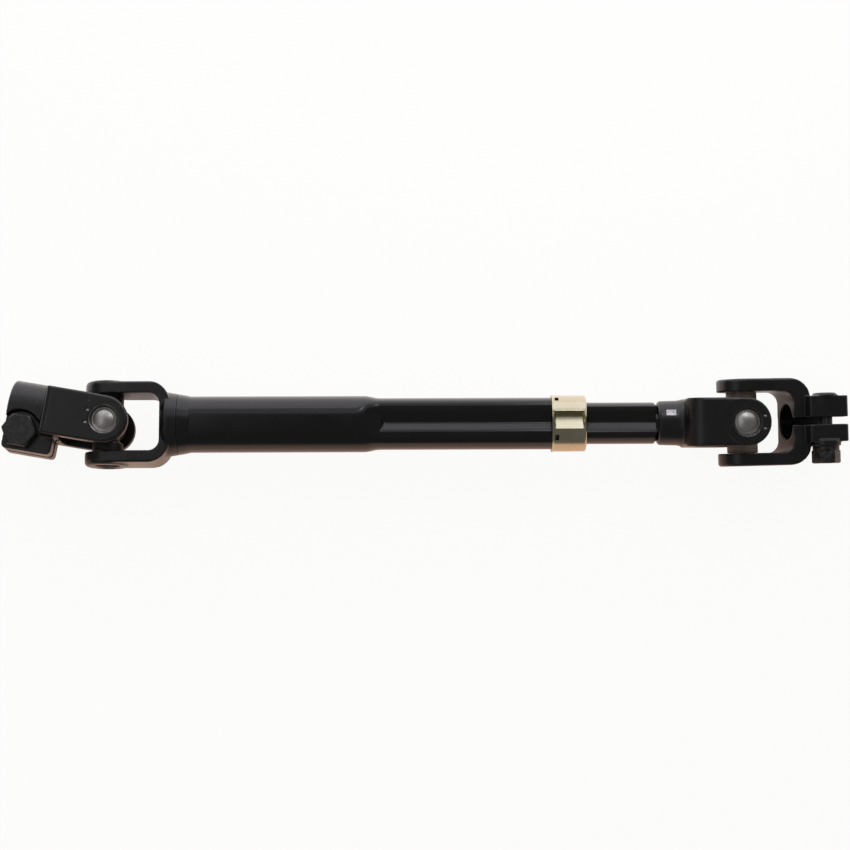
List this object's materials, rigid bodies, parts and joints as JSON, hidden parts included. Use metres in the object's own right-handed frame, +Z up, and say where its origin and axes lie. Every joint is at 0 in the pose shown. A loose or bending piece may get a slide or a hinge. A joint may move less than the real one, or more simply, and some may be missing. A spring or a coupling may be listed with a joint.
{
  "type": "intermediate steering shaft",
  "caption": "Telescoping intermediate steering shaft with a universal joint and a split clamp yoke at each end.",
  "frame": {"origin": "centre of the bounding box on the surface the shaft lies on", "axes": "+X along the shaft from the steering gear end to the column end, +Z up from the surface"},
  "size_m": [0.4752, 0.0504, 0.049],
  "materials": {
    "tube_paint": "gloss",
    "yoke_paint": "satin",
    "black_fastener": "satin",
    "bearing_cup": "satin",
    "roller_steel": "polished",
    "cross_steel": "satin",
    "yellow_zinc": "satin",
    "seal_tan": "satin",
    "seal_dark": "satin"
  },
  "bodies": {
    "outer_tube": {"outer_tube": "tube_paint", "tube_fork": "yoke_paint", "tube_weld": "tube_paint", "tube_end_clip": "yellow_zinc", "fork_cup_a": "bearing_cup", "fork_rollers_a": "roller_steel", "fork_seal_a": "seal_dark", "fork_cup_b": "bearing_cup", "fork_rollers_b": "roller_steel", "fork_seal_b": "seal_dark"},
    "gear_cross": {"gear_cross": "cross_steel"},
    "gear_clamp": {"gear_clamp_yoke": "yoke_paint", "gear_pinch_bolt": "black_fastener", "gear_pinch_nut": "black_fastener", "gear_clamp_cup_a": "bearing_cup", "gear_clamp_rollers_a": "roller_steel", "gear_clamp_seal_a": "seal_dark", "gear_clamp_cup_b": "bearing_cup", "gear_clamp_rollers_b": "roller_steel", "gear_clamp_seal_b": "seal_dark"},
    "slide_shaft": {"slide_shaft": "tube_paint", "shaft_yoke": "yoke_paint", "shaft_yoke_cup_a": "bearing_cup", "shaft_yoke_rollers_a": "roller_steel", "shaft_yoke_seal_a": "seal_tan", "shaft_yoke_cup_b": "bearing_cup", "shaft_yoke_rollers_b": "roller_steel", "shaft_yoke_seal_b": "seal_tan"},
    "column_cross": {"column_cross": "cross_steel"},
    "column_clamp": {"column_clamp_yoke": "yoke_paint", "column_pinch_bolt": "black_fastener", "column_lock_washer": "black_fastener", "column_clamp_cup_a": "bearing_cup", "column_clamp_rollers_a": "roller_steel", "column_clamp_seal_a": "seal_tan", "column_clamp_cup_b": "bearing_cup", "column_clamp_rollers_b": "roller_steel", "column_clamp_seal_b": "seal_tan"}
  },
  "joints": [
    {"name": "gear_joint_pitch", "type": "hinge", "parent": "outer_tube", "child": "gear_cross", "pos_m": [-0.17923, -0.00007, 0.0245], "axis": [0, 0.9914, -0.1305], "range_deg": [-33.21, 30.79]},
    {"name": "gear_joint_swing", "type": "hinge", "parent": "gear_cross", "child": "gear_clamp", "pos_m": [-0.17923, -0.00007, 0.0245], "axis": [0.0211, 0.1305, 0.9912], "range_deg": [-22.2, 41.8]},
    {"name": "shaft_slide", "type": "slide", "parent": "outer_tube", "child": "slide_shaft", "axis": [1, 0, 0], "range_m": [-0.036, 0.04]},
    {"name": "column_joint_swing", "type": "hinge", "parent": "slide_shaft", "child": "column_cross", "pos_m": [0.17847, -0.00007, 0.0245], "axis": [0, 0, 1], "range_deg": [-33.2, 30.8]},
    {"name": "column_joint_pitch", "type": "hinge", "parent": "column_cross", "child": "column_clamp", "pos_m": [0.17847, -0.00007, 0.0245], "axis": [-0.0209, 0.9998, 0], "range_deg": [-43.73, 20.27]}
  ]
}
